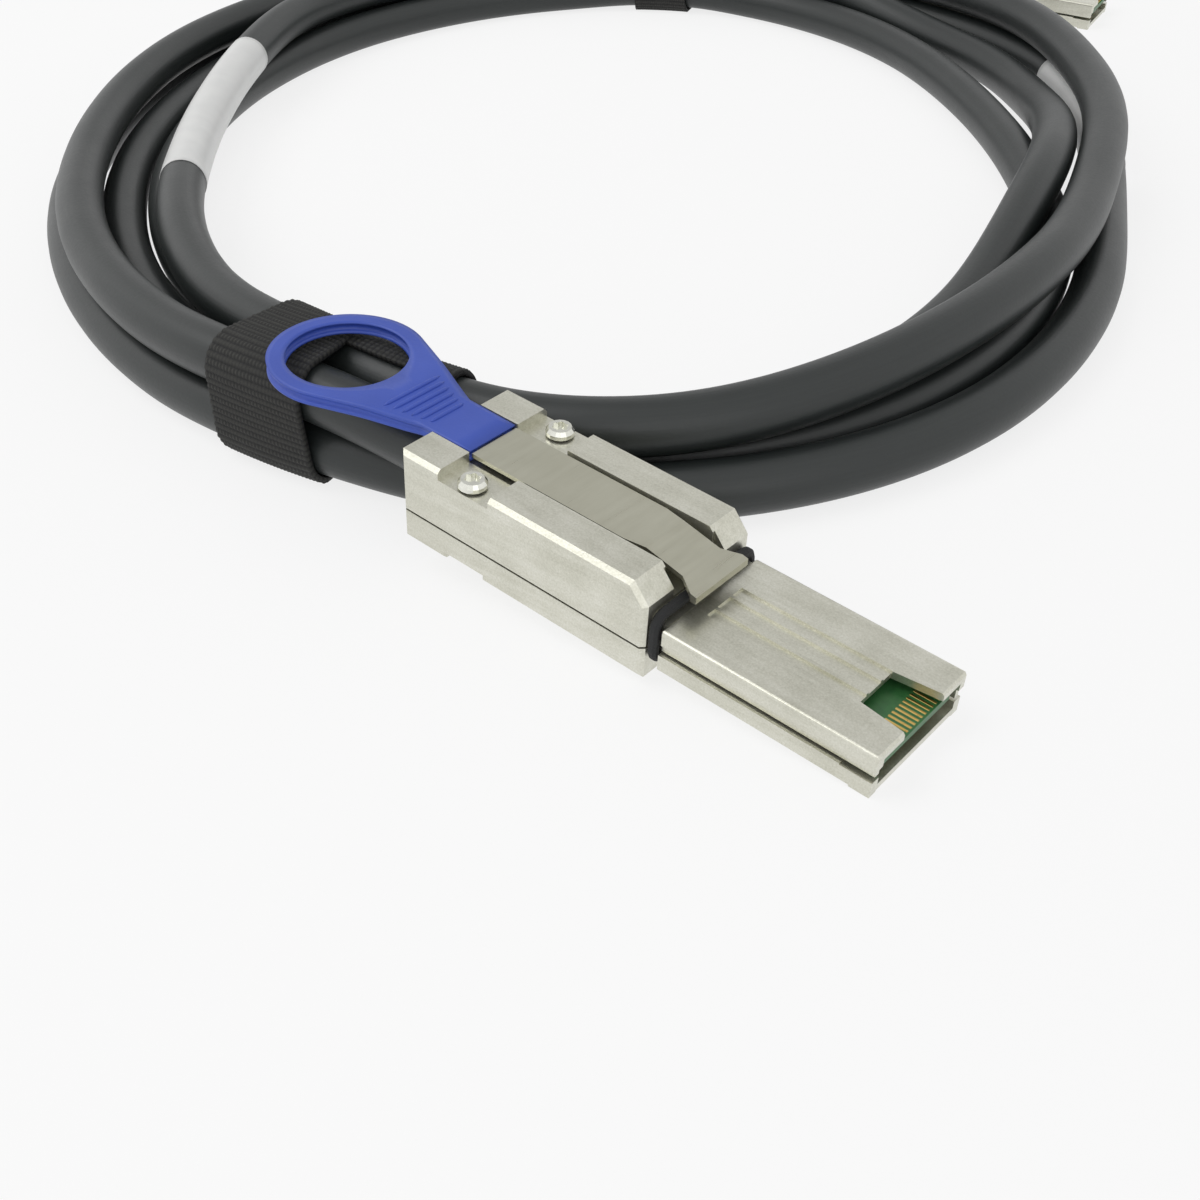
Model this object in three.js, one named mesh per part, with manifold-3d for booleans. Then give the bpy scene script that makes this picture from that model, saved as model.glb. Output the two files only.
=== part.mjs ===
// External mini SAS cable: a round cord wound into a flat oval coil, held by two hook-and-loop straps,
// with the same die-cast plug on each end. Millimetres, +Z up. The origin lies on the table under the
// middle of the near plug, whose nose points along +X.
import * as THREE from "three";
import { mergeVertices } from "three/addons/utils/BufferGeometryUtils.js";
import Module from "manifold-3d";

const wasm = await Module();
wasm.setup();

// Running gap between neighbours, and a margin by which a cut runs past a face
const clearance = 0.3;
const past = 1;

// Plug shell. In a plug u runs from the cable end to the nose, v across and w up from the shell's underside
const shellLength = 41.86;
const shellWidth = 21;
const shellHeight = 14.13;
const shellBrowRun = 2.43;
const shellBrowDrop = 2.77;
const shellEdge = 0.6;
const splitHeight = 4.85;
const cavityWidth = 16.4;
const cavityFloor = 2;
const cavityRoof = 9;
const frontWall = 1.5;
const bottomNotchStart = 7.6;
const bottomNotchLength = 7.3;
const bottomNotchDepth = 1.3;

// Cable entry
const cableDiameter = 8.8;
const entryHeight = 6.7;
const cableSeat = 2.2;
const ferruleLength = 9.5;
const ferruleGroove = 0.4;

// Channel for the latch in the top of the shell
const channelWidth = 9.4;
const channelFloor = 12;
const earLength = 6.92;
const earGapWidth = 9.2;
const ledgeEnd = 15.8;
const ledgeHeight = 12.65;
const browPocketStart = 34;
const browPocketFloor = 10.2;
const browPocketFlare = 0.4;
const browPocketFlareStart = 40;

// Shell screws
const screwStation = 11.2;
const screwSpread = 16.8;
const screwHeadRadius = 2;
const screwHeadHeight = 1.1;
const screwShankRadius = 0.9;
const screwTip = 2.8;
const screwRecessRadius = 1.05;
const screwRecessDepth = 0.6;

// Nose
const noseEnd = 74.58;
const noseStart = 43.7;
const noseWidth = 19.47;
const noseTop = 8.64;
const noseBandBottom = 6.4;
const noseGrooveWidth = 18.2;
const noseRoof = 1.1;
const noseMouthWidth = 16.6;
const noseRearWall = 1.2;
const noseEdge = 0.5;
const neckWidth = 17.1;
const neckTop = 8.6;
const neckBottom = 4.1;
const noseFloorBottom = 2.4;
const noseFloorThickness = 1;
const noseLowerEnd = 74.4;
const noseLowerStep = 70;
const noseLowerStepTop = 4.5;
const footStart = 71.6;
const footBottom = 2.16;
const windowStart = 67.9;
const windowWidthBack = 6.9;
const windowWidthFront = 8.8;
const panelStart = 46;
const panelWidth = 7.1;
const panelDepth = 0.35;
const panelRibWidth = 0.5;
const panelRibPlaces = [-1.7, 1.4];

// Gasket round the neck
const gasketThickness = 1.3;
const gasketWidth = 20.4;
const gasketBottom = 2.45;
const gasketTop = 10.5;
const gasketCorner = 2.4;
const gasketEdge = 0.35;

// Card inside the nose, and the moulded block that holds its tail
const cardBottom = 5.3;
const cardThickness = 1;
const cardWidth = 16;
const cardTailWidth = 13;
const cardStart = 22;
const cardShoulder = 45.2;
const cardEnd = 74;
const mouldEnd = 26;

// Latch plate
const plateTop = 13.8;
const plateThickness = 0.6;
const plateWidth = 8.5;
const plateStart = 7;
const plateBend = 36.2;
const plateBendWidth = 7.5;
const flangeEnd = 33;
const flangeThickness = 0.5;
const lipFlareStart = 42;
const lipEnd = 45.3;
const lipTop = 11.9;
const lipBottom = 10.9;
const lipDepth = 0.9;
const lipWidth = 10.48;
const tongueStart = 0.4;
const tongueWidth = 5;
const tongueThickness = 0.5;
const tongueTop = 13.25;

// Return spring in its pocket under the latch plate, and the lug that presses on it
const latchTravel = 2;
const springPocketStart = 16.8;
const springPocketLength = 12.8;
const springPocketWidth = 3.4;
const springPocketFloor = 9.9;
const springRadius = 1.05;
const springWire = 0.2;
const springTurns = 5;
const springHeight = 11.5;
const lugPlace = 28;
const lugThickness = 0.8;
const lugWidth = 2.4;
const lugBottom = 10.4;

// Pull tab
const tabTop = 14.1;
const tabThickness = 1.6;
const tabFront = 6.7;
const tabNeckWidth = 8.6;
const tabNeckEnd = -7.5;
const tabNeckEndWidth = 9.4;
const tabRingCentre = -21.8;
const tabRingInner = 8.8;
const tabRingOuter = 11.4;
const tabRingRise = 0.6;
const tabRingThickness = 1.8;
const tabRingJoin = 40;
const tabRibCount = 6;
const tabRibStart = -1.6;
const tabRibPitch = 1.35;
const tabRibWidth = 0.6;
const tabRibHeight = 0.35;
const tabPegPlace = 3.2;
const tabPegRadius = 0.7;
const tabSlotRoof = 13.55;

// How the plugs lie: the near one has its tail up on the coil, the far one lies flat on shell and feet
const nearTilt = 5.5;
const farHeading = 12;
const farPlace = [-112.9, 268.4];

// Coil: the centreline of its outer lane is an oval, measured from the foot of the near plug's back
const coilCentre = [-77.2, 121.5];
const coilLong = 135.5;
const coilShort = 107.4;
const coilTurn = -48.2;
const coilInnerEdge = -24.5;
const coilOuterEdge = 4.6;
const coilHeight = 17.6;
const coilEdge = 3;
const coilFacets = 72;

// Straps round the coil
const strapWidth = 20;
const strapThickness = 1.2;
const strapCorner = 4;
const leftStrapPlace = -28;
const topStrapPlace = 168;

// Blank wrap labels on the cord
const labelThickness = 0.4;
const labelWidth = 8.4;
const labelLeft = { place: 267.5, offset: -17, length: 78, top: 17.7 };
const labelRight = { place: 97, offset: -5, length: 56, top: 17.7 };

// Free stretches of cord: how far the lead runs back out of the near plug, and the tail's way from the
// coil's side to the far plug
const leadReach = 5.6;
const tailRoute = [
  [-174, 229.7, 4.6],
  [-159, 242.9, 4.7],
  [-142, 256.8, 7.4],
];
const tailRunIn = 14;
const cordSides = 10;

// Surfaces
const metal = { color: 0xb9b6ae, roughness: 0.36, metalness: 0.95 };
const brightMetal = { color: 0xc6c4bd, roughness: 0.28, metalness: 0.95 };
const blueTab = { color: 0x3a55b5, roughness: 0.5, metalness: 0 };
const blackRubber = { color: 0x17181a, roughness: 0.75, metalness: 0 };
const steel = { color: 0x8d8b86, roughness: 0.4, metalness: 0.9 };
const greenCard = { color: 0x2e5e3c, roughness: 0.5, metalness: 0 };
const jacket = { color: 0x2c2f2e, roughness: 0.45, metalness: 0 };
const weave = { color: 0x1b1c1e, roughness: 0.9, metalness: 0 };
const paper = { color: 0xe9eaec, roughness: 0.6, metalness: 0 };
const ivory = { color: 0xd8d2c2, roughness: 0.6, metalness: 0 };

const radians = THREE.MathUtils.degToRad;
const half = (size) => size / 2;

// A closed geometry as a solid, turned right side out
function solidOf(geometry) {
  const bare = geometry.index ? geometry.toNonIndexed() : geometry.clone();
  bare.deleteAttribute("normal");
  bare.deleteAttribute("uv");
  const merged = mergeVertices(bare, 1e-4);
  const vertProperties = merged.attributes.position.array;
  const triVerts = new Uint32Array(merged.index.array);
  const corner = (i) => new THREE.Vector3().fromArray(vertProperties, 3 * triVerts[i]);
  let volume = 0;
  for (let i = 0; i < triVerts.length; i += 3) {
    volume += corner(i).dot(corner(i + 1).cross(corner(i + 2)));
  }
  if (volume < 0) {
    for (let i = 0; i < triVerts.length; i += 3) {
      const kept = triVerts[i + 1];
      triVerts[i + 1] = triVerts[i + 2];
      triVerts[i + 2] = kept;
    }
  }
  return new wasm.Manifold(new wasm.Mesh({ numProp: 3, vertProperties, triVerts }));
}

// A solid's surface as a geometry
function geometryOf(solid) {
  const mesh = solid.getMesh();
  const positions = new Float32Array(mesh.numVert * 3);
  for (let i = 0; i < mesh.numVert; i += 1) {
    const first = i * mesh.numProp;
    positions.set(mesh.vertProperties.subarray(first, first + 3), i * 3);
  }
  const geometry = new THREE.BufferGeometry();
  geometry.setAttribute("position", new THREE.BufferAttribute(positions, 3));
  geometry.setIndex(new THREE.BufferAttribute(mesh.triVerts, 1));
  geometry.computeVertexNormals();
  return geometry;
}

function meshOf(name, solid, look) {
  const mesh = new THREE.Mesh(geometryOf(solid), new THREE.MeshStandardMaterial(look));
  mesh.name = name;
  return mesh;
}

function block(u0, u1, v0, v1, w0, w1) {
  const geometry = new THREE.BoxGeometry(u1 - u0, v1 - v0, w1 - w0);
  geometry.translate((u0 + u1) / 2, (v0 + v1) / 2, (w0 + w1) / 2);
  return solidOf(geometry);
}

// A block that is centred across the plug
function slab(u0, u1, width, w0, w1) {
  return block(u0, u1, -half(width), half(width), w0, w1);
}

function shapeOf(points) {
  return new THREE.Shape(points.map(([x, y]) => new THREE.Vector2(x, y)));
}

// A side view (u, w) given its width across the plug, with its edges broken by a chamfer
function sideExtrusion(points, width, edge = 0) {
  const geometry = new THREE.ExtrudeGeometry(shapeOf(points), {
    depth: width - 2 * edge,
    bevelEnabled: edge > 0,
    bevelThickness: edge,
    bevelSize: edge,
    bevelOffset: -edge,
    bevelSegments: 1,
  });
  geometry.rotateX(Math.PI / 2);
  geometry.translate(0, half(width) - edge, 0);
  return solidOf(geometry);
}

// A plan (u, v) given its height
function planExtrusion(shape, w0, w1, facets = 12) {
  const settings = { depth: w1 - w0, bevelEnabled: false, curveSegments: facets };
  const geometry = new THREE.ExtrudeGeometry(shape, settings);
  geometry.translate(0, 0, w0);
  return solidOf(geometry);
}

// An end view (v, w) given its length along the plug, with its edges broken by a chamfer
function endExtrusion(shape, u0, u1, edge = 0) {
  const geometry = new THREE.ExtrudeGeometry(shape, {
    depth: u1 - u0 - 2 * edge,
    bevelEnabled: edge > 0,
    bevelThickness: edge,
    bevelSize: edge,
    bevelOffset: -edge,
    bevelSegments: 1,
    curveSegments: 3,
  });
  const along = new THREE.Vector3(1, 0, 0);
  const across = new THREE.Vector3(0, 1, 0);
  const up = new THREE.Vector3(0, 0, 1);
  geometry.applyMatrix4(new THREE.Matrix4().makeBasis(across, up, along));
  geometry.translate(u0 + edge, 0, 0);
  return solidOf(geometry);
}

function roundedRectangle(path, x0, x1, y0, y1, corner) {
  path.moveTo(x0 + corner, y0);
  path.lineTo(x1 - corner, y0);
  path.absarc(x1 - corner, y0 + corner, corner, -Math.PI / 2, 0, false);
  path.lineTo(x1, y1 - corner);
  path.absarc(x1 - corner, y1 - corner, corner, 0, Math.PI / 2, false);
  path.lineTo(x0 + corner, y1);
  path.absarc(x0 + corner, y1 - corner, corner, Math.PI / 2, Math.PI, false);
  path.lineTo(x0, y0 + corner);
  path.absarc(x0 + corner, y0 + corner, corner, Math.PI, 1.5 * Math.PI, false);
  return path;
}

// A turned piece whose axis stands along w
function post(profile, u, v, facets = 16) {
  const points = profile.map(([radius, w]) => new THREE.Vector2(radius, w));
  const geometry = new THREE.LatheGeometry(points, facets);
  geometry.rotateX(Math.PI / 2);
  geometry.translate(u, v, 0);
  return solidOf(geometry);
}

function cylinderUp(radius, w0, w1, u, v, facets = 16) {
  return post([[0, w0], [radius, w0], [radius, w1], [0, w1]], u, v, facets);
}

// A turned piece whose axis lies along u at the cable's height
function turnedAlong(profile, facets = 28) {
  const points = profile.map(([radius, u]) => new THREE.Vector2(radius, u));
  const geometry = new THREE.LatheGeometry(points, facets);
  geometry.rotateZ(-Math.PI / 2);
  geometry.translate(0, 0, entryHeight);
  return solidOf(geometry);
}

function tube(curve, diameter, sides, steps) {
  const section = [];
  for (let i = 0; i < sides; i += 1) {
    const angle = (2 * Math.PI * i) / sides;
    section.push([half(diameter) * Math.cos(angle), half(diameter) * Math.sin(angle)]);
  }
  const settings = { steps, bevelEnabled: false, extrudePath: curve };
  return solidOf(new THREE.ExtrudeGeometry(shapeOf(section), settings));
}

// Faces that meet at the split keep half the clearance each
const upperSplit = splitHeight + half(clearance);
const lowerSplit = splitHeight - half(clearance);
const cableBore = half(cableDiameter) + clearance + 0.05;
const ferruleStart = cableSeat + clearance;
const ferruleEnd = ferruleStart + ferruleLength;
const cavityStart = ferruleEnd + clearance;
const cavityEnd = shellLength - frontWall;
const noseCavityStart = noseStart + noseRearWall;
const passageWidth = cardTailWidth + 2 * clearance;

// Outside of the whole shell, before it is split
function shellBlank() {
  const outline = [
    [0, 0],
    [shellLength, 0],
    [shellLength, shellHeight - shellBrowDrop],
    [shellLength - shellBrowRun, shellHeight],
    [0, shellHeight],
  ];
  return sideExtrusion(outline, shellWidth, shellEdge);
}

// Hollow inside both halves: cable bore, cavity and screw bores
function shellHollow() {
  const bore = turnedAlong([[0, -past], [cableBore, -past], [cableBore, cavityStart + 0.1], [0, cavityStart + 0.1]]);
  let hollow = bore.add(slab(cavityStart, cavityEnd, cavityWidth, cavityFloor, cavityRoof));
  for (const side of [-1, 1]) {
    const v = side * half(screwSpread);
    const boreRadius = screwShankRadius + clearance;
    hollow = hollow.add(cylinderUp(boreRadius, screwTip - clearance, shellHeight + past, screwStation, v));
  }
  return hollow;
}

// Upper casting: lid of the shell with ears, screw ledge and rails, and the upper half of the nose
function upperShell() {
  const above = shellHeight + past;
  let solid = shellBlank().intersect(slab(-past, shellLength + past, 2 * shellWidth, upperSplit, above));
  solid = solid.subtract(slab(-past, earLength, earGapWidth, channelFloor, above));
  solid = solid.subtract(slab(earLength, ledgeEnd, 2 * shellWidth, ledgeHeight, above));
  solid = solid.subtract(slab(earLength - 0.1, shellLength + past, channelWidth, channelFloor, above));
  solid = solid.subtract(slab(browPocketStart, shellLength + past, channelWidth, browPocketFloor, above));
  const flareWidth = channelWidth + 2 * browPocketFlare;
  solid = solid.subtract(slab(browPocketFlareStart, shellLength + past, flareWidth, browPocketFloor, above));
  const springPocketEnd = springPocketStart + springPocketLength;
  solid = solid.subtract(slab(springPocketStart, springPocketEnd, springPocketWidth, springPocketFloor, above));
  solid = solid.subtract(shellHollow());

  const band = roundedRectangle(
    new THREE.Shape(), -half(noseWidth), half(noseWidth), noseBandBottom - 2, noseTop, noseEdge,
  );
  let nose = endExtrusion(band, noseStart, noseEnd, 0.3);
  nose = nose.intersect(slab(0, noseEnd + past, shellWidth, noseBandBottom, noseTop + past));
  nose = nose.add(slab(noseStart, noseEnd - 0.3, noseGrooveWidth, upperSplit, noseBandBottom + 0.5));
  nose = nose.subtract(slab(noseCavityStart, noseEnd + past, noseMouthWidth, 0, noseTop - noseRoof));
  nose = nose.subtract(slab(panelStart, windowStart + 0.1, panelWidth, noseTop - panelDepth, noseTop + past));
  for (const place of panelRibPlaces) {
    const v0 = place - half(panelRibWidth);
    const v1 = place + half(panelRibWidth);
    nose = nose.add(block(panelStart - 0.2, windowStart, v0, v1, noseTop - panelDepth - 0.2, noseTop));
  }
  const window = shapeOf([
    [windowStart, -half(windowWidthBack)],
    [noseEnd + past, -half(windowWidthFront)],
    [noseEnd + past, half(windowWidthFront)],
    [windowStart, half(windowWidthBack)],
  ]);
  nose = nose.subtract(planExtrusion(window, noseTop - noseRoof - past, noseTop + past));
  const neck = slab(shellLength - 0.2, noseStart + 0.2, neckWidth, upperSplit, neckTop);
  const passageTop = cardBottom + cardThickness + clearance;
  const passage = slab(cavityEnd - 0.1, noseCavityStart + 0.1, passageWidth, 0, passageTop);
  return solid.add(neck).add(nose).subtract(passage);
}

// Lower casting: tray of the shell, and the floor of the nose with its side strips and feet
function lowerShell() {
  let solid = shellBlank().intersect(slab(-past, shellLength + past, 2 * shellWidth, -past, lowerSplit));
  solid = solid.subtract(shellHollow());
  const notchEnd = bottomNotchStart + bottomNotchLength;
  solid = solid.subtract(slab(bottomNotchStart, notchEnd, 2 * shellWidth, -past, bottomNotchDepth));
  let nose = slab(noseStart, noseLowerStep, noseWidth, noseFloorBottom, lowerSplit);
  nose = nose.add(slab(noseLowerStep - 0.1, noseLowerEnd, noseWidth, noseFloorBottom, noseLowerStepTop));
  nose = nose.add(slab(footStart, noseLowerEnd, noseWidth, footBottom, noseFloorBottom + 0.2));
  const floorTop = noseFloorBottom + noseFloorThickness;
  nose = nose.subtract(slab(noseCavityStart, noseEnd + past, noseMouthWidth, floorTop, noseTop));
  nose = nose.subtract(slab(footStart - 0.1, noseEnd + past, noseMouthWidth, 0, noseFloorBottom));
  const neck = slab(shellLength - 0.2, noseStart + 0.2, neckWidth, neckBottom, lowerSplit);
  return solid.add(neck).add(nose);
}

// Seal between the front of the shell and the nose: a loop of square cord with its edges broken
function gasket() {
  const outline = roundedRectangle(
    new THREE.Shape(), -half(gasketWidth), half(gasketWidth), gasketBottom, gasketTop, gasketCorner,
  );
  const inset = half(gasketWidth) - gasketThickness;
  const hole = roundedRectangle(
    new THREE.Path(), -inset, inset, gasketBottom + gasketThickness, gasketTop - gasketThickness,
    gasketCorner - gasketThickness,
  );
  outline.holes.push(hole);
  const middle = (shellLength + noseStart) / 2;
  return endExtrusion(outline, middle - half(gasketThickness), middle + half(gasketThickness), gasketEdge);
}

// Printed card whose front edge is the contact tongue
function paddleCard() {
  const outline = shapeOf([
    [cardStart, -half(cardTailWidth)],
    [cardShoulder, -half(cardTailWidth)],
    [cardShoulder, -half(cardWidth)],
    [cardEnd - 0.6, -half(cardWidth)],
    [cardEnd, -half(cardWidth) + 0.6],
    [cardEnd, half(cardWidth) - 0.6],
    [cardEnd - 0.6, half(cardWidth)],
    [cardShoulder, half(cardWidth)],
    [cardShoulder, half(cardTailWidth)],
    [cardStart, half(cardTailWidth)],
  ]);
  return planExtrusion(outline, cardBottom, cardBottom + cardThickness);
}

// Moulded block over the soldered cores, slotted for the tail of the card
function innerMould() {
  const width = cavityWidth - 2 * clearance;
  const body = slab(cavityStart + clearance, mouldEnd, width, cavityFloor + clearance, cavityRoof - clearance);
  const slotBottom = cardBottom - clearance;
  const slotTop = cardBottom + cardThickness + clearance;
  return body.subtract(slab(cardStart - clearance, mouldEnd + past, passageWidth, slotBottom, slotTop));
}

// Turned ring crimped on the cable's braid, waisted in the middle
function cableFerrule() {
  const radius = half(cableDiameter);
  const third = ferruleLength / 3;
  return turnedAlong([
    [0, ferruleStart],
    [radius, ferruleStart],
    [radius, ferruleStart + third],
    [radius - ferruleGroove, ferruleStart + third],
    [radius - ferruleGroove, ferruleEnd - third],
    [radius, ferruleEnd - third],
    [radius, ferruleEnd],
    [0, ferruleEnd],
  ]);
}

// Pan-head screw with a six-lobe recess, its head on the ledge
function shellScrew(side) {
  const seat = ledgeHeight + clearance;
  const v = side * half(screwSpread);
  const profile = [
    [0, screwTip],
    [screwShankRadius, screwTip],
    [screwShankRadius, seat],
    [screwHeadRadius, seat],
    [screwHeadRadius, seat + 0.5 * screwHeadHeight],
    [0.8 * screwHeadRadius, seat + screwHeadHeight],
    [0, seat + screwHeadHeight],
  ];
  const lobes = [];
  for (let i = 0; i < 24; i += 1) {
    const angle = (i * Math.PI) / 12;
    const reach = screwRecessRadius * (1 + 0.14 * Math.cos(6 * angle));
    lobes.push([screwStation + reach * Math.cos(angle), v + reach * Math.sin(angle)]);
  }
  const recessFloor = seat + screwHeadHeight - screwRecessDepth;
  const recess = planExtrusion(shapeOf(lobes), recessFloor, seat + screwHeadHeight + past);
  return post(profile, screwStation, v).subtract(recess);
}

// Latch plate: one folded sheet with side flanges, a sloping front that ends in a lip over the gasket,
// a tongue that the pull tab hooks on, and a lug bent down into the spring pocket
function latchPlate() {
  const under = plateTop - plateThickness;
  const fold = [
    [plateStart, plateTop],
    [plateBend, plateTop],
    [lipEnd, lipTop],
    [lipEnd, lipBottom],
    [lipEnd - lipDepth, lipBottom],
    [lipEnd - lipDepth - 0.2, lipTop - plateThickness + 0.1],
    [plateBend - 0.1, under],
    [plateStart, under],
  ];
  const halfPlan = [
    [plateStart, half(plateWidth)],
    [flangeEnd, half(plateWidth)],
    [plateBend, half(plateBendWidth)],
    [lipFlareStart, half(plateBendWidth)],
    [lipEnd - lipDepth, half(lipWidth)],
    [lipEnd, half(lipWidth)],
  ];
  const mirrored = halfPlan.map(([u, v]) => [u, -v]).reverse();
  const plan = planExtrusion(shapeOf([...halfPlan, ...mirrored]), 0, shellHeight + past);
  let plate = sideExtrusion(fold, lipWidth + 2 * past).intersect(plan);
  const outer = half(plateWidth);
  const flangeBottom = channelFloor + clearance;
  for (const side of [-1, 1]) {
    const v0 = side > 0 ? outer - flangeThickness : -outer;
    const v1 = side > 0 ? outer : flangeThickness - outer;
    plate = plate.add(block(ledgeEnd, flangeEnd, v0, v1, flangeBottom, under + 0.1));
  }
  plate = plate.add(slab(tongueStart, plateStart + 2, tongueWidth, tongueTop - tongueThickness, tongueTop));
  plate = plate.subtract(cylinderUp(tabPegRadius + clearance, channelFloor, plateTop + past, tabPegPlace, 0));
  return plate.add(slab(lugPlace, lugPlace + lugThickness, lugWidth, lugBottom, under + 0.1));
}

// Pull tab: a moulded strap with a finger ring, a ribbed neck and a pocket that takes the plate's tongue
function pullTab() {
  const join = radians(tabRingJoin);
  const outline = new THREE.Shape();
  outline.moveTo(tabFront, -half(tabNeckWidth));
  outline.lineTo(tabFront, half(tabNeckWidth));
  outline.lineTo(tabNeckEnd, half(tabNeckEndWidth));
  outline.absarc(tabRingCentre, 0, tabRingOuter - 0.1, join, 2 * Math.PI - join, false);
  outline.lineTo(tabNeckEnd, -half(tabNeckEndWidth));
  const opening = new THREE.Path().absarc(tabRingCentre, 0, tabRingInner, 0, 2 * Math.PI, false);
  outline.holes.push(opening);
  const bottom = tabTop - tabThickness;
  let tab = planExtrusion(outline, bottom, tabTop, 20);

  const ringTop = tabTop + tabRingRise;
  const ringBottom = ringTop - tabRingThickness;
  const softened = 0.35;
  const ring = new THREE.LatheGeometry([
    new THREE.Vector2(tabRingInner, ringBottom + softened),
    new THREE.Vector2(tabRingInner + softened, ringBottom),
    new THREE.Vector2(tabRingOuter - softened, ringBottom),
    new THREE.Vector2(tabRingOuter, ringBottom + softened),
    new THREE.Vector2(tabRingOuter, ringTop - softened),
    new THREE.Vector2(tabRingOuter - softened, ringTop),
    new THREE.Vector2(tabRingInner + softened, ringTop),
    new THREE.Vector2(tabRingInner, ringTop - softened),
    new THREE.Vector2(tabRingInner, ringBottom + softened),
  ], 40);
  ring.rotateX(Math.PI / 2);
  ring.translate(tabRingCentre, 0, 0);
  tab = tab.add(solidOf(ring));
  for (let i = 0; i < tabRibCount; i += 1) {
    const u = tabRibStart - i * tabRibPitch;
    tab = tab.add(slab(u - tabRibWidth, u, tabNeckWidth - 1, tabTop - 0.2, tabTop + tabRibHeight));
  }
  const slotWidth = tongueWidth + 2 * clearance;
  tab = tab.subtract(slab(tongueStart - clearance, tabFront + past, slotWidth, bottom - past, tabSlotRoof));
  return tab.add(cylinderUp(tabPegRadius, bottom, tabSlotRoof + 0.2, tabPegPlace, 0));
}

// Return spring: a coil from the pocket's rear wall to where the lug stands when the tab is fully pulled
function returnSpring() {
  const start = springPocketStart + clearance + springWire;
  const end = lugPlace - latchTravel - clearance - springWire;
  class Helix extends THREE.Curve {
    getPoint(t, target = new THREE.Vector3()) {
      const angle = 2 * Math.PI * springTurns * t;
      const across = springRadius * Math.cos(angle);
      const up = springRadius * Math.sin(angle);
      return target.set(start + (end - start) * t, across, springHeight + up);
    }
  }
  return tube(new Helix(), 2 * springWire, 6, 8 * springTurns);
}

// One plug with its pieces named by the end that it sits on
function plug(end) {
  const group = new THREE.Group();
  group.add(meshOf(`${end}_upper_shell`, upperShell(), metal));
  group.add(meshOf(`${end}_lower_shell`, lowerShell(), metal));
  group.add(meshOf(`${end}_gasket`, gasket(), blackRubber));
  group.add(meshOf(`${end}_paddle_card`, paddleCard(), greenCard));
  group.add(meshOf(`${end}_inner_mould`, innerMould(), ivory));
  group.add(meshOf(`${end}_cable_ferrule`, cableFerrule(), steel));
  group.add(meshOf(`${end}_screw_left`, shellScrew(1), steel));
  group.add(meshOf(`${end}_screw_right`, shellScrew(-1), steel));
  group.add(meshOf(`${end}_return_spring`, returnSpring(), steel));
  const latch = new THREE.Group();
  latch.add(meshOf(`${end}_latch_plate`, latchPlate(), brightMetal));
  latch.add(meshOf(`${end}_pull_tab`, pullTab(), blueTab));
  group.add(latch);
  return group;
}

// The coil's oval. A point is given by its place round the oval in degrees, its distance outwards from
// the outer lane's centreline and its height above the table.
const longAxis = new THREE.Vector2(Math.cos(radians(coilTurn)), Math.sin(radians(coilTurn)));
const shortAxis = new THREE.Vector2(-longAxis.y, longAxis.x);

function ovalPoint(place, outwards, height) {
  const c = Math.cos(radians(place));
  const s = Math.sin(radians(place));
  const normal = new THREE.Vector2(coilShort * c, coilLong * s).normalize();
  const along = coilLong * c + normal.x * outwards;
  const across = coilShort * s + normal.y * outwards;
  return new THREE.Vector3(
    coilCentre[0] + longAxis.x * along + shortAxis.x * across,
    coilCentre[1] + longAxis.y * along + shortAxis.y * across,
    height,
  );
}

// Length of cord per degree of the oval
function ovalPace(place) {
  return ovalPoint(place + 0.5, 0, 0).distanceTo(ovalPoint(place - 0.5, 0, 0));
}

// Bends a section (outwards, height) that was extruded to a length so that it follows the oval
function bentAlongOval(shape, place, length, steps = 4) {
  const settings = { depth: length, steps, bevelEnabled: false, curveSegments: 3 };
  const geometry = new THREE.ExtrudeGeometry(shape, settings);
  const positions = geometry.attributes.position;
  const pace = ovalPace(place);
  for (let i = 0; i < positions.count; i += 1) {
    const at = place + (positions.getZ(i) - half(length)) / pace;
    const point = ovalPoint(at, positions.getX(i), positions.getY(i));
    positions.setXYZ(i, point.x, point.y, point.z);
  }
  return solidOf(geometry);
}

// Bundle inside a strap: the coil's section, lifted by what passes below it
const waist = {
  inner: coilInnerEdge + clearance,
  outer: coilOuterEdge,
  bottom: strapThickness + clearance,
  top: coilHeight,
};

function waistOutline(path, grow, corner) {
  return roundedRectangle(
    path, waist.inner - grow, waist.outer + grow, waist.bottom - grow, waist.top + grow, corner,
  );
}

function strap(place) {
  const outline = waistOutline(new THREE.Shape(), clearance + strapThickness, strapCorner + strapThickness);
  outline.holes.push(waistOutline(new THREE.Path(), clearance, strapCorner));
  return bentAlongOval(outline, place, strapWidth);
}

function label({ place, offset, length, top }, grow = 0) {
  const outer = offset + half(labelWidth) + grow;
  const inner = offset - half(labelWidth) - grow;
  const bottom = top - labelThickness - grow;
  const outline = shapeOf([[inner, bottom], [outer, bottom], [outer, top + grow], [inner, top + grow]]);
  return bentAlongOval(outline, place, length + 2 * grow, 8);
}

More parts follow.
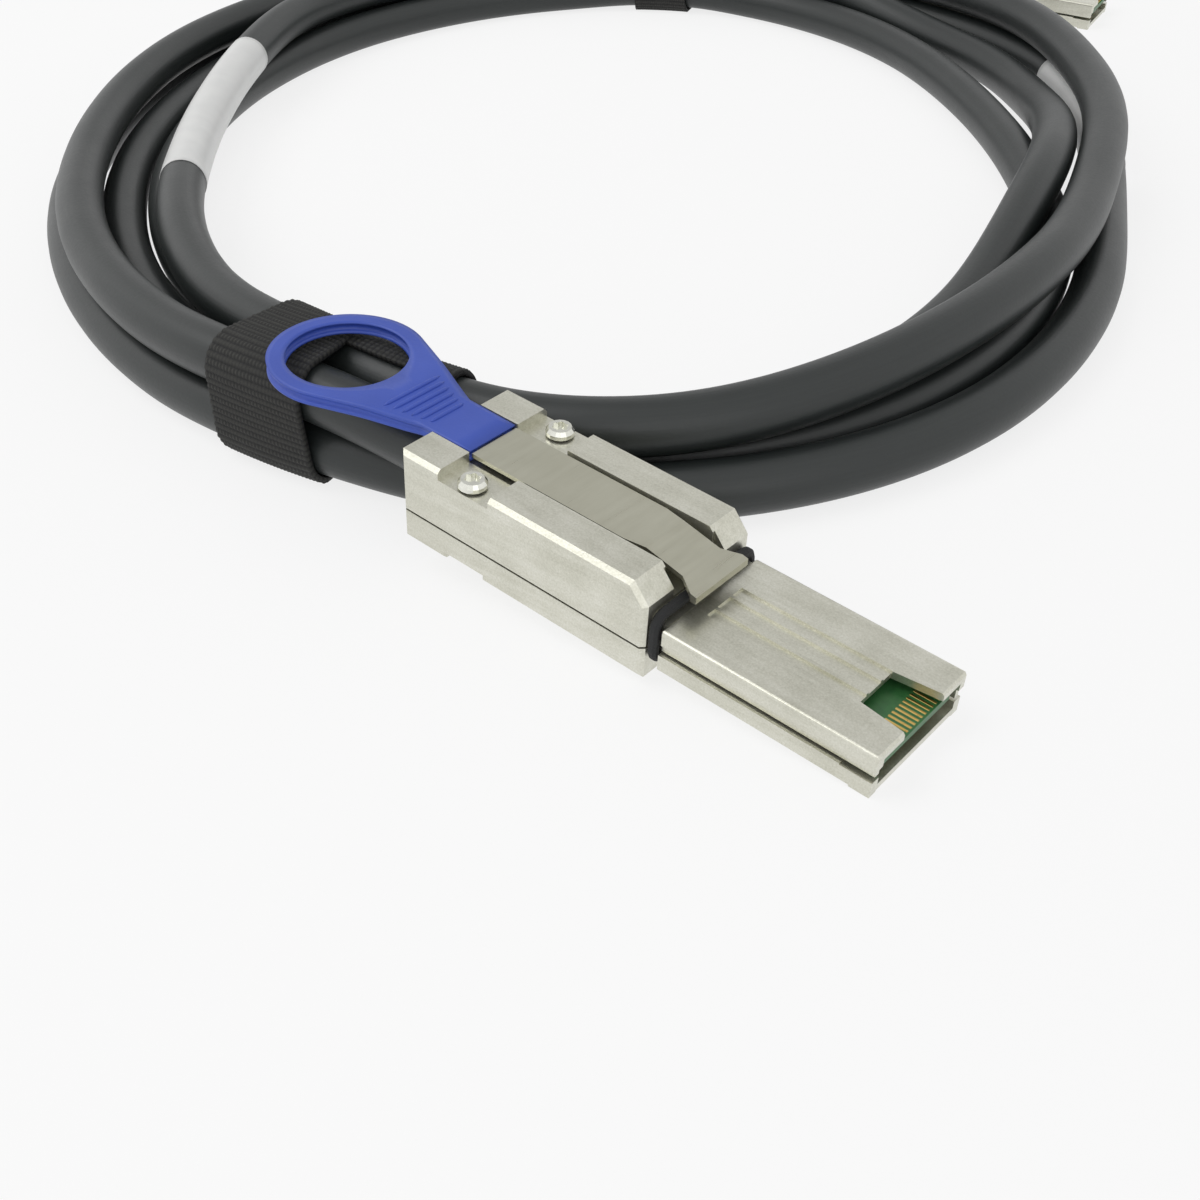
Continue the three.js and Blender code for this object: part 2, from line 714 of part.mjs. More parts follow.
// Outer shape of the coil: a ring turned about its axis and drawn out to the oval, drawn in where a
// strap goes round it and where it passes the near plug
function cableCoil(plugRoom) {
  const e = coilEdge;
  const section = [
    [coilInnerEdge + e, 0],
    [coilOuterEdge - e, 0],
    [coilOuterEdge, e],
    [coilOuterEdge, coilHeight - e],
    [coilOuterEdge - e, coilHeight],
    [coilInnerEdge + e, coilHeight],
    [coilInnerEdge, coilHeight - e],
    [coilInnerEdge, e],
    [coilInnerEdge + e, 0],
  ];
  const points = section.map(([outwards, height]) => new THREE.Vector2(coilLong + outwards, height));
  const geometry = new THREE.LatheGeometry(points, coilFacets);
  const positions = geometry.attributes.position;
  for (let i = 0; i < positions.count; i += 1) {
    const x = positions.getX(i);
    const z = positions.getZ(i);
    const place = THREE.MathUtils.radToDeg(Math.atan2(x, z));
    const point = ovalPoint(place, Math.hypot(x, z) - coilLong, positions.getY(i));
    positions.setXYZ(i, point.x, point.y, point.z);
  }
  let ring = solidOf(geometry);
  for (const place of [leftStrapPlace, topStrapPlace]) {
    const room = shapeOf([
      [coilInnerEdge - 5, -5],
      [coilOuterEdge + 5, -5],
      [coilOuterEdge + 5, coilHeight + 5],
      [coilInnerEdge - 5, coilHeight + 5],
    ]);
    room.holes.push(waistOutline(new THREE.Path(), 0, strapCorner - clearance));
    ring = ring.subtract(bentAlongOval(room, place, strapWidth + 2 * clearance));
  }
  ring = ring.subtract(label(labelLeft, clearance)).subtract(label(labelRight, clearance));
  return ring.subtract(plugRoom);
}

// Height of a plug's own frame above the table when its feet touch and it is tilted nose down
const nearPlug = plug("near");
const nearAngle = radians(nearTilt);
const nearLift = noseLowerEnd * Math.sin(nearAngle) - footBottom * Math.cos(nearAngle);
nearPlug.rotation.y = nearAngle;
nearPlug.position.z = nearLift;

// The far plug rests on its feet and on the front edge of its shell
const farPlug = plug("far");
const restEdge = shellLength;
const farAngle = Math.atan2(footBottom, noseLowerEnd - restEdge);
farPlug.rotation.set(0, farAngle, radians(farHeading), "ZYX");
farPlug.position.set(farPlace[0], farPlace[1], restEdge * Math.sin(farAngle));
nearPlug.updateMatrixWorld(true);
farPlug.updateMatrixWorld(true);

const inPlug = (group, u) => group.localToWorld(new THREE.Vector3(u, 0, entryHeight));

const leadStart = inPlug(nearPlug, cableSeat);
const leadEnd = inPlug(nearPlug, -leadReach);
const leadCurve = new THREE.CatmullRomCurve3([leadStart, leadStart.clone().lerp(leadEnd, 0.5), leadEnd]);
const tailPoints = tailRoute.map((point) => new THREE.Vector3(...point));
tailPoints.push(inPlug(farPlug, -tailRunIn), inPlug(farPlug, cableSeat));
const tailCurve = new THREE.CatmullRomCurve3(tailPoints);

// Room that the near plug and its lead take out of the coil's edge
const roomHalf = half(shellWidth) + clearance;
const plugRoom = block(-leadReach - clearance, shellLength, -roomHalf, roomHalf, -past, 2 * coilHeight);

const cable = new THREE.Group();
cable.add(meshOf("cable_lead", tube(leadCurve, cableDiameter, cordSides, 2), jacket));
cable.add(meshOf("cable_coil", cableCoil(plugRoom), jacket));
cable.add(meshOf("cable_tail", tube(tailCurve, cableDiameter, cordSides, 12), jacket));
cable.add(meshOf("strap_left", strap(leftStrapPlace), weave));
cable.add(meshOf("strap_top", strap(topStrapPlace), weave));
cable.add(meshOf("label_left", label(labelLeft), paper));
cable.add(meshOf("label_right", label(labelRight), paper));

// The whole is shifted so that the near plug's box stands on the origin
const table = new THREE.Group();
table.add(nearPlug, farPlug, cable);
const box = new THREE.Box3().setFromObject(nearPlug, true);
table.position.x = -(box.min.x + box.max.x) / 2;
table.position.y = -(box.min.y + box.max.y) / 2;

const assembly = new THREE.Group();
assembly.add(table);

export default assembly;
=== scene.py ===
import math
import bmesh
import bpy
import numpy as np
from mathutils import Matrix


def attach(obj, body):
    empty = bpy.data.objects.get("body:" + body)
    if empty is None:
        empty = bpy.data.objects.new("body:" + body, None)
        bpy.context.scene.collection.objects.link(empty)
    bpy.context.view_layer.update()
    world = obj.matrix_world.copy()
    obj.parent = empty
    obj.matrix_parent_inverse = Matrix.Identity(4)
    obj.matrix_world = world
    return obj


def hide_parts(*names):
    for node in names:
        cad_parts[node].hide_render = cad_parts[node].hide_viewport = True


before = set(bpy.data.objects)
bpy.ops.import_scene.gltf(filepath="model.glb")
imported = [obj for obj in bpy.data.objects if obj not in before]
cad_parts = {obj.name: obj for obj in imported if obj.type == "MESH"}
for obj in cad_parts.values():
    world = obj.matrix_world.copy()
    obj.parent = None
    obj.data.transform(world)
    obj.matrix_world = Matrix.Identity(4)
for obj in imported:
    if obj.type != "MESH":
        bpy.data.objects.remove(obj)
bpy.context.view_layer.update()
print("frame loaded")

# Lengths in the dictionaries are in millimetres and are turned to metres where a mesh is made.
# The floor frame has its origin under the near plug's back edge, rowShift behind the frame's own.
mm = 0.001
rowShift = -21.629

# Camera

camera = {
    "place": (0.11130, -0.11914, 0.11862),
    "ahead": (-0.53613, 0.59788, -0.5959),
    "up": (-0.37105, 0.46716, 0.80255),
    "lens": 44.71,
}


# The matrix of a camera or lamp at a place, from the way it looks and a rough up
def lookMatrix(place, ahead, up):
    ahead = np.array(ahead) / np.linalg.norm(ahead)
    right = np.cross(ahead, np.array(up))
    right = right / np.linalg.norm(right)
    up = np.cross(right, ahead)
    rows = [(right[i], up[i], -ahead[i], place[i]) for i in range(3)]
    return Matrix(rows + [(0.0, 0.0, 0.0, 1.0)])


def setCamera():
    data = bpy.data.cameras.new("camera")
    data.lens = camera["lens"]
    data.sensor_width = 36.0
    data.clip_start = 0.01
    data.clip_end = 20.0
    obj = bpy.data.objects.new("camera", data)
    obj.matrix_world = lookMatrix(camera["place"], camera["ahead"], camera["up"])
    bpy.context.scene.collection.objects.link(obj)
    bpy.context.scene.camera = obj


# Mesh from a grid of points, rows along u and columns along v

def gridMesh(name, points, closeU=False, closeV=False, caps=False, uv=None, smooth=True):
    rows, columns = points.shape[0], points.shape[1]
    index = np.arange(rows * columns).reshape(rows, columns)
    a = index if closeU else index[:-1]
    b = np.roll(index, -1, 0) if closeU else index[1:]
    if closeV:
        quads = np.stack([a, b, np.roll(b, -1, 1), np.roll(a, -1, 1)], -1)
    else:
        quads = np.stack([a[:, :-1], b[:, :-1], b[:, 1:], a[:, 1:]], -1)
    faces = quads.reshape(-1, 4).tolist()
    if caps:
        faces.append(index[0].tolist())
        faces.append(index[-1][::-1].tolist())
    mesh = bpy.data.meshes.new(name)
    mesh.from_pydata((points.reshape(-1, 3) * mm).tolist(), [], faces)
    if uv is not None:
        layer = mesh.uv_layers.new(name="UVMap")
        corner = np.zeros(len(mesh.loops), dtype=np.int32)
        mesh.loops.foreach_get("vertex_index", corner)
        layer.data.foreach_set("uv", uv.reshape(-1, 2)[corner].ravel())
    mesh.polygons.foreach_set("use_smooth", np.full(len(mesh.polygons), smooth))
    mesh.update()
    return addPiece(name, mesh)


def addPiece(name, mesh):
    obj = bpy.data.objects.new(name, mesh)
    bpy.context.scene.collection.objects.link(obj)
    return obj


def faceOut(obj):
    work = bmesh.new()
    work.from_mesh(obj.data)
    bmesh.ops.recalc_face_normals(work, faces=work.faces)
    work.to_mesh(obj.data)
    work.free()
    obj.data.update()


# Shader maths

class Value:
    def __init__(self, graph, socket):
        self.graph = graph
        self.socket = socket

    def __add__(self, other):
        return self.graph.maths("ADD", self, other)

    def __radd__(self, other):
        return self.graph.maths("ADD", other, self)

    def __mul__(self, other):
        return self.graph.maths("MULTIPLY", self, other)

    def __rmul__(self, other):
        return self.graph.maths("MULTIPLY", other, self)


class Graph:
    def __init__(self, name):
        self.material = bpy.data.materials.new(name)
        self.material.use_nodes = True
        self.tree = self.material.node_tree
        self.tree.nodes.clear()

    def node(self, kind, settings=None, inputs=None, output=0):
        made = self.tree.nodes.new(kind)
        for key, value in (settings or {}).items():
            if key == "stops":
                self.setStops(made.color_ramp, value)
            else:
                setattr(made, key, value)
        for key, value in (inputs or {}).items():
            socket = made.inputs[key]
            if isinstance(value, Value):
                self.tree.links.new(value.socket, socket)
            else:
                socket.default_value = value
        return Value(self, made.outputs[output]) if len(made.outputs) else None

    def setStops(self, ramp, stops):
        while len(ramp.elements) > 1:
            ramp.elements.remove(ramp.elements[-1])
        ramp.elements[0].position = stops[0][0]
        ramp.elements[0].color = stops[0][1]
        for place, colour in stops[1:]:
            ramp.elements.new(place).color = colour

    def maths(self, operation, first, second=0.0):
        return self.node("ShaderNodeMath", {"operation": operation}, {0: first, 1: second})

    def mix(self, share, first, second):
        return self.node("ShaderNodeMix", {"data_type": "RGBA"}, {0: share, 6: first, 7: second}, 2)

    def place(self, scale=(1.0, 1.0, 1.0), turn=(0.0, 0.0, 0.0), source="Object"):
        where = self.node("ShaderNodeTexCoord", None, None, source)
        return self.node("ShaderNodeMapping", None, {"Vector": where, "Scale": scale, "Rotation": turn})

    def noise(self, where, scale, detail=3.0, roughness=0.5):
        values = {"Vector": where, "Scale": scale, "Detail": detail, "Roughness": roughness}
        return self.node("ShaderNodeTexNoise", None, values, "Fac")

    def bump(self, height, strength, distance):
        values = {"Height": height, "Strength": strength, "Distance": distance}
        return self.node("ShaderNodeBump", None, values)

    def finish(self, values):
        shader = self.node("ShaderNodeBsdfPrincipled", None, values)
        self.node("ShaderNodeOutputMaterial", None, {0: shader})
        return self.material


def colour(red, green, blue):
    parts = [c / 255.0 for c in (red, green, blue)]
    return tuple(c / 12.92 if c <= 0.04045 else ((c + 0.055) / 1.055) ** 2.4 for c in parts) + (1.0,)


# Finishes

nearTurn = (0.0, math.radians(-5.5), 0.0)


def castingFinish():
    g = Graph("platedCasting")
    fine = g.noise(g.place(), 3600.0, 4.0, 0.65)
    cloud = g.noise(g.place(), 130.0, 3.0, 0.55)
    drawn = g.noise(g.place((60.0, 900.0, 900.0), nearTurn), 1.0, 3.0, 0.6)
    shade = 0.3 * cloud + 0.45 * fine + 0.25 * drawn
    tone = g.node("ShaderNodeValToRGB", {"stops": [
        (0.33, colour(188, 187, 172)),
        (0.52, colour(212, 211, 198)),
        (0.70, colour(232, 231, 222)),
    ]}, {0: shade})
    rough = 0.22 + 0.14 * cloud + 0.08 * drawn
    height = g.bump(0.6 * fine + 0.4 * drawn, 0.12, 0.0002)
    return g.finish({"Base Color": tone, "Metallic": 0.88, "Roughness": rough, "Normal": height})


def sheetFinish():
    g = Graph("latchSheet")
    drawn = g.noise(g.place((900.0, 90.0, 900.0), nearTurn), 1.0, 4.0, 0.6)
    cloud = g.noise(g.place(), 160.0, 3.0, 0.5)
    tone = g.mix(0.5 * drawn + 0.4 * cloud, colour(172, 170, 152), colour(206, 205, 190))
    rough = 0.22 + 0.16 * drawn
    return g.finish({"Base Color": tone, "Metallic": 0.92, "Roughness": rough,
                     "Normal": g.bump(drawn, 0.1, 0.0002)})


def tabFinish():
    g = Graph("bluePlastic")
    grain = g.noise(g.place(), 2600.0, 2.0, 0.5)
    cloud = g.noise(g.place(), 120.0, 2.0, 0.5)
    tone = g.mix(cloud, colour(52, 78, 172), colour(66, 94, 196))
    return g.finish({"Base Color": tone, "Roughness": 0.36 + 0.12 * grain,
                     "Normal": g.bump(grain, 0.12, 0.00012)})


def gasketFinish():
    g = Graph("gasketRubber")
    foam = g.noise(g.place(), 2200.0, 4.0, 0.7)
    tone = g.mix(foam, colour(14, 15, 16), colour(40, 41, 42))
    return g.finish({"Base Color": tone, "Roughness": 0.6 + 0.3 * foam,
                     "Normal": g.bump(foam, 0.5, 0.0003)})


def screwFinish():
    g = Graph("screwSteel")
    cloud = g.noise(g.place(), 700.0, 3.0, 0.5)
    tone = g.mix(cloud, colour(206, 206, 196), colour(242, 242, 234))
    return g.finish({"Base Color": tone, "Metallic": 1.0, "Roughness": 0.14 + 0.14 * cloud})


def cardFinish():
    g = Graph("greenCard")
    cloud = g.noise(g.place(), 900.0, 3.0, 0.5)
    tone = g.mix(cloud, colour(34, 82, 46), colour(64, 122, 66))
    return g.finish({"Base Color": tone, "Roughness": 0.3 + 0.2 * cloud})


def goldFinish():
    g = Graph("fingerGold")
    cloud = g.noise(g.place(), 1200.0, 3.0, 0.5)
    tone = g.mix(cloud, colour(196, 160, 84), colour(232, 202, 128))
    return g.finish({"Base Color": tone, "Metallic": 1.0, "Roughness": 0.22 + 0.15 * cloud})


def ivoryFinish():
    g = Graph("ivoryPlastic")
    cloud = g.noise(g.place(), 300.0, 3.0, 0.5)
    tone = g.mix(cloud, colour(214, 206, 180), colour(232, 226, 204))
    return g.finish({"Base Color": tone, "Roughness": 0.5 + 0.15 * cloud})


def jacketFinish():
    g = Graph("cordJacket")
    long = g.noise(g.place((8.0, 60.0, 1.0), (0.0, 0.0, 0.0), "UV"), 1.0, 3.0, 0.5)
    grain = g.noise(g.place(), 1500.0, 3.0, 0.6)
    scuff = g.noise(g.place(), 60.0, 4.0, 0.6)
    tone = g.mix(0.5 * long + 0.5 * scuff, colour(22, 26, 26), colour(42, 47, 46))
    rough = 0.3 + 0.14 * scuff + 0.1 * grain
    return g.finish({"Base Color": tone, "Roughness": rough, "Specular IOR Level": 0.55,
                     "Normal": g.bump(0.5 * grain + 0.5 * long, 0.14, 0.0003)})


def weaveFinish():
    g = Graph("strapWeave")
    where = g.node("ShaderNodeTexCoord", None, None, "UV")
    along = g.node("ShaderNodeSeparateXYZ", None, {0: where}, 0)
    across = g.node("ShaderNodeSeparateXYZ", None, {0: where}, 1)
    ridge = g.maths("ABSOLUTE", g.maths("SINE", along * (100.0 * math.pi / 0.95)))
    knot = 0.5 + 0.5 * g.maths("SINE", across * (200.0 * math.pi / 0.76))
    fibre = g.noise(g.place(), 2400.0, 4.0, 0.7)
    cloud = g.noise(g.place(), 200.0, 3.0, 0.5)
    share = ridge * (0.35 + 0.65 * knot) * (0.5 + 0.6 * fibre) * (0.6 + 0.5 * cloud)
    tone = g.mix(share, colour(4, 4, 5), colour(66, 66, 62))
    return g.finish({"Base Color": tone, "Roughness": 0.62 + 0.3 * fibre,
                     "Normal": g.bump(fibre, 0.6, 0.0003)})


def labelFinish():
    g = Graph("labelWhite")
    cloud = g.noise(g.place(), 180.0, 3.0, 0.5)
    tone = g.mix(cloud, colour(222, 223, 222), colour(240, 240, 238))
    return g.finish({"Base Color": tone, "Roughness": 0.34 + 0.14 * cloud})


finish = {
    "plated_casting": castingFinish(),
    "latch_sheet": sheetFinish(),
    "blue_plastic": tabFinish(),
    "gasket_rubber": gasketFinish(),
    "screw_steel": screwFinish(),
    "green_card": cardFinish(),
    "ivory_plastic": ivoryFinish(),
    "cord_jacket": jacketFinish(),
    "strap_weave": weaveFinish(),
    "label_white": labelFinish(),
}
fingerGold = goldFinish()


def dress(obj, slot):
    obj.data.materials.append(finish[slot])


nodeSlots = {
    "upper_shell": "plated_casting",
    "lower_shell": "plated_casting",
    "gasket": "gasket_rubber",
    "paddle_card": "green_card",
    "inner_mould": "ivory_plastic",
    "cable_ferrule": "plated_casting",
    "screw_left": "screw_steel",
    "screw_right": "screw_steel",
    "return_spring": "screw_steel",
    "latch_plate": "latch_sheet",
    "pull_tab": "blue_plastic",
}


def dressNodes():
    for end in ("near_", "far_"):
        for name, slot in nodeSlots.items():
            node = bpy.data.objects[end + name]
            node.data.materials.clear()
            node.data.materials.append(finish[slot])


# Cord: one piece from the near plug's back, round the coil and into the far plug

oval = {
    "middle": (-77.2, 121.5),
    "half": (135.5, 107.4),
    "long": (0.66653, -0.74548),
    "short": (0.74548, 0.66653),
}

cord = {
    "radius": 4.4,
    "step": 4.0,
    "around": 28,
    "apart": 9.3,
    "turnStep": 1.5,
    "easeLay": 14,
    "easeRoute": 12,
    "rounds": 260,
    "push": 0.6,
    "pull": 0.008,
    "fall": 0.02,
    "sameRun": 40.0,
    "heldLead": 4,
    "heldTail": 14,
    "strapLift": 5.3,
    "strapHalf": 6.0,
    "strapFade": 0.12,
}

# Where the two straps sit, as angles round the oval
strapAngles = {"strapLeft": 332.0, "strapTop": 168.0}

# Points of the lead, from inside the near ferrule to where the coil begins, in the floor frame
leadRoute = [(2.83, 0.0, 11.44), (-4.34, 0.0, 12.13), (-11.3, 0.0, 12.8), (-20.0, 0.2, 13.3)]

# Where the cord lies in the coil: angle round the oval, how far outside it, height
lay = [
    (332, 1.2, 13.8), (324, 0.8, 13.3), (310, 0.3, 13.2), (290, 0.0, 13.2), (277, 0.3, 13.2),
    (265, 2.2, 13.2), (252, 4.6, 13.2), (241, 6.0, 13.2), (220, 4.5, 13.2), (200, 2.0, 13.4),
    (184, 0.5, 13.6), (168, -0.6, 13.8), (152, 0.8, 13.5), (135, 4.0, 13.3), (113, 7.0, 13.4),
    (100, 1.8, 13.4), (87, -1.8, 13.4), (81, -3.6, 13.4), (73, -6.6, 13.3), (64, -8.3, 13.2),
    (47, -7.6, 15.4), (38, -6.6, 15.6), (31, -5.4, 15.2), (25, -4.2, 14.6), (17, -1.6, 13.8),
    (9, 0.8, 13.2), (2, 2.6, 13.2), (-5, 3.0, 13.2), (-12, 1.2, 13.2), (-20, -3.8, 13.5),
    (-28, -7.6, 13.9), (-37, -9.4, 13.4), (-45, -11.7, 13.2), (-55, -15.0, 13.2),
    (-66, -18.0, 13.2), (-79, -21.3, 13.2), (-97, -20.0, 13.2), (-118, -14.0, 13.2),
    (-132, -6.0, 13.2), (-160, -5.5, 13.2), (-176, -7.5, 13.4), (-192, -9.0, 13.8),
    (-208, -9.0, 13.0), (-222, -8.0, 9.0), (-236, -6.0, 5.5), (-251, -4.5, 4.4),
    (-260, -7.5, 4.8), (-268, -10.5, 6.5), (-274, -12.5, 8.8), (-280, -13.6, 9.2),
    (-288, -14.6, 8.0), (-295, -15.6, 6.4), (-303, -16.4, 5.0), (-311, -16.6, 4.4),
    (-321, -16.0, 4.4), (-332, -14.4, 4.4), (-345, -12.6, 4.4), (-360, -11.8, 4.4),
    (-372, -12.5, 4.4), (-388, -16.4, 5.2), (-405, -17.0, 4.4), (-430, -17.0, 4.4), (-477, -11.6, 4.4),
    (-495, -9.2, 4.4), (-513, -9.4, 4.4), (-534, -8.8, 4.4), (-552, -8.4, 5.2),
    (-565, -9.0, 4.4), (-576, -10.3, 4.4), (-583, -12.8, 4.4), (-591, -15.2, 4.4),
    (-601, -17.7, 4.4), (-611, -20.4, 4.4), (-623, -21.6, 4.4), (-635, -20.5, 4.4),
    (-646, -18.2, 4.4), (-660, -13.0, 6.6), (-670, -8.6, 8.8), (-680, -5.0, 9.4),
    (-690, -3.4, 9.2), (-695, -2.6, 8.8), (-705, -2.0, 7.6), (-715, -3.2, 4.4), (-730, -4.2, 4.4),
    (-748, -7.6, 5.2), (-765, -8.2, 4.4), (-790, -7.6, 4.4), (-801, -7.0, 4.4),
    (-855, 0.0, 4.4), (-880, 0.6, 4.4), (-912, 0.5, 5.2), (-930, 2.0, 4.4),
    (-950, 5.0, 4.4), (-972, 6.8, 4.4), (-984, 1.9, 4.4), (-995, -2.8, 4.4),
    (-1007, -7.6, 4.4), (-1019, -8.5, 4.4), (-1029, -7.0, 4.4), (-1037, -3.5, 4.4),
    (-1044, -0.8, 4.4), (-1050, 1.6, 4.4), (-1055, 3.4, 4.4), (-1059, 4.6, 4.4),
    (-1068, 5.7, 4.4), (-1080, 5.0, 4.4), (-1095, 2.6, 4.4), (-1108, 1.2, 5.2),
    (-1125, 0.7, 4.4), (-1139, 1.1, 4.4), (-1150, 1.8, 4.4), (-1175, 5.6, 4.4),
    (-1200, 8.9, 4.4), (-1225, 9.6, 4.4), (-1245, 10.2, 4.4),
]

# Points of the tail, as in the part's own source, up to inside the far ferrule
tailRoute = [
    (-174.0, 229.7, 4.6), (-159.0, 242.9, 4.7), (-142.0, 256.8, 7.4),
    (-126.13, 265.59, 10.385), (-110.32, 268.95, 9.31),
]


# A point of the oval at angle t is middle + long a cos t + short b sin t, moved along its normal
def ovalPoint(angle, out, height):
    t = np.radians(angle)
    a, b = oval["half"]
    e1, e2 = np.array(oval["long"]), np.array(oval["short"])
    middle = np.array(oval["middle"])
    flat = middle + np.outer(a * np.cos(t), e1) + np.outer(b * np.sin(t), e2)
    normal = np.outer(b * np.cos(t), e1) + np.outer(a * np.sin(t), e2)
    normal = normal / np.linalg.norm(normal, axis=1)[:, None]
    flat = flat + normal * np.asarray(out)[:, None]
    return np.column_stack([flat, height])


def eased(values, times):
    for _ in range(times):
        middle = 0.25 * values[:-2] + 0.5 * values[1:-1] + 0.25 * values[2:]
        values = np.concatenate([values[:1], middle, values[-1:]])
    return values


def respaced(points, step):
    lengths = np.linalg.norm(np.diff(points, axis=0), axis=1)
    along = np.concatenate([[0.0], np.cumsum(lengths)])
    count = int(round(along[-1] / step)) + 1
    wanted = np.linspace(0.0, along[-1], count)
    return np.column_stack([np.interp(wanted, along, points[:, k]) for k in range(3)])


# Turns are smoothed between the points of the lay, then every round pushes strands apart that
# are closer than cord["apart"], pulls them back towards the lay and lets them fall a little.
# No strand goes under the floor, or under a strap's thickness where a strap passes below it.
def layCord():
    keys = np.array(lay, dtype=float)
    angles = np.arange(keys[0, 0], keys[-1, 0], -cord["turnStep"])
    out = eased(np.interp(-angles, -keys[:, 0], keys[:, 1]), cord["easeLay"])
    height = eased(np.interp(-angles, -keys[:, 0], keys[:, 2]), cord["easeLay"])
    coil = ovalPoint(angles, out, height)
    whole = np.concatenate([np.array(leadRoute), coil, np.array(tailRoute)])
    whole = respaced(whole, cord["step"])
    whole = eased(whole, cord["easeRoute"])
    start = whole.copy()
    count = len(whole)
    order = np.arange(count)
    near = np.abs(order[:, None] - order[None, :]) * cord["step"] < cord["sameRun"]
    held = np.zeros(count, dtype=bool)
    held[:cord["heldLead"]] = True
    held[-cord["heldTail"]:] = True
    angleOf = ovalAngle(whole)
    lift = np.full(count, cord["radius"])
    for spot in strapAngles.values():
        away = np.abs((angleOf - spot + 180.0) % 360.0 - 180.0)
        fade = np.maximum(away - cord["strapHalf"], 0.0) * cord["strapFade"]
        lift = np.maximum(lift, cord["strapLift"] - fade)
    lift[held] = 0.0
    for _ in range(cord["rounds"]):
        gap = whole[:, None, :] - whole[None, :, :]
        distance = np.sqrt((gap ** 2).sum(-1)) + 1e-9
        short = np.where(near, 0.0, np.maximum(cord["apart"] - distance, 0.0))
        push = (gap / distance[:, :, None] * short[:, :, None]).sum(1)
        most = np.maximum((short > 0).sum(1), 1)[:, None]
        moved = cord["push"] * push / most
        moved[:, :2] += cord["pull"] * (start[:, :2] - whole[:, :2])
        moved[:, 2] -= cord["fall"]
        shift = whole + moved - start
        shift = eased(shift, 2)
        shift[held] = 0.0
        whole = start + shift
        whole[:, 2] = np.maximum(whole[:, 2], lift)
    whole[~held] = eased(whole, 3)[~held]
    closest = float(distance[~near].min())
    print("closest strands", round(closest, 2), "mm going into the last round")
    fine = respaced(whole, cord["step"] / 2)
    return eased(fine, 4)


# The angle t of each point on the oval, from its coordinates along both half axes
def ovalAngle(points):
    e1, e2 = np.array(oval["long"]), np.array(oval["short"])
    flat = points[:, :2] - np.array(oval["middle"])
    a, b = oval["half"]
    return np.degrees(np.arctan2(flat @ e2 / b, flat @ e1 / a)) % 360.0


# Frames along a path: the side is level where it can be, so the section never twists
def framesAlong(points):
    ahead = np.gradient(points, axis=0)
    ahead = ahead / np.linalg.norm(ahead, axis=1)[:, None]
    side = np.cross(ahead, np.array([0.0, 0.0, 1.0]))
    side = side / np.linalg.norm(side, axis=1)[:, None]
    return side, np.cross(side, ahead)


# A tube is centre + radius (side cos v + up sin v), the section carried along the path
def tubeGrid(points, radius, around):
    v = np.linspace(0.0, 2 * math.pi, around, endpoint=False)
    return points[:, None, :] + radius * raysAlong(points, v)


# Directions side cos v + up sin v at every point of a path
def raysAlong(points, v):
    side, up = framesAlong(points)
    return side[:, None, :] * np.cos(v)[None, :, None] + up[:, None, :] * np.sin(v)[None, :, None]


def toRow(points):
    return points + np.array([rowShift, 0.0, 0.0])


def makeCord():
    centre = layCord()
    row = toRow(centre)
    lengths = np.linalg.norm(np.diff(row, axis=0), axis=1)
    along = np.concatenate([[0.0], np.cumsum(lengths)])
    grid = tubeGrid(row, cord["radius"], cord["around"])
    u = np.broadcast_to(along[:, None] * uvScale, grid.shape[:2])
    v = np.broadcast_to(np.linspace(0.0, 1.0, cord["around"])[None, :], grid.shape[:2])
    tube = gridMesh("cord", grid, closeV=True, caps=True, uv=np.stack([u, v], -1))
    faceOut(tube)
    dress(tube, "cord_jacket")
    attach(tube, "cable")
    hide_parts("cable_lead", "cable_coil", "cable_tail")
    print("cord laid,", round(float(along[-1])), "mm")
    return tube, centre, row, float(along[-1])


# Values of the woven pattern across and along a strap: ridges, each cut by its own row of knots
def ribbed(x, y, rib):
    ridge = np.abs(np.sin(math.pi * x / rib))
    cross = 0.5 + 0.5 * np.cos(2 * math.pi * y / (0.8 * rib) + math.pi * np.floor(x / rib))
    return ridge * (0.55 + 0.45 * cross)


# Straps

straps = {
    "width": 20.0,
    "gap": 0.35,
    "thick": 0.9,
    "rib": 0.95,
    "ribHeight": 0.24,
    "across": 91,
    "around": 380,
    "ringRadius": 125.0,
    "floorGap": 0.02,
    "outermost": {"strapLeft": 30.0, "strapTop": 6.0},
    "node": {"strapLeft": "strap_left", "strapTop": "strap_top"},
}

looseTail = {"turns": (-12.0, -25.0), "sweep": (10.0, 108.0), "gap": 0.25, "step": 0.4, "across": 41}

# Texture units a millimetre of strap or cord takes in its UV map
uvScale = 0.01


# Where the strands cross the upright plane through the oval at an angle, as (out, height)
def crossings(centre, angle):
    turned = (ovalAngle(centre) - angle + 180.0) % 360.0 - 180.0
    hit = np.nonzero((turned[:-1] * turned[1:] <= 0) & (np.abs(turned[:-1] - turned[1:]) < 20))[0]
    share = (turned[hit] / (turned[hit] - turned[hit + 1]))[:, None]
    point = centre[hit] * (1 - share) + centre[hit + 1] * share
    base = ovalPoint(np.full(len(hit), angle), np.zeros(len(hit)), np.zeros(len(hit)))
    step = ovalPoint(np.full(len(hit), angle), np.ones(len(hit)), np.zeros(len(hit))) - base
    return np.column_stack([((point - base) * step).sum(1), point[:, 2]])


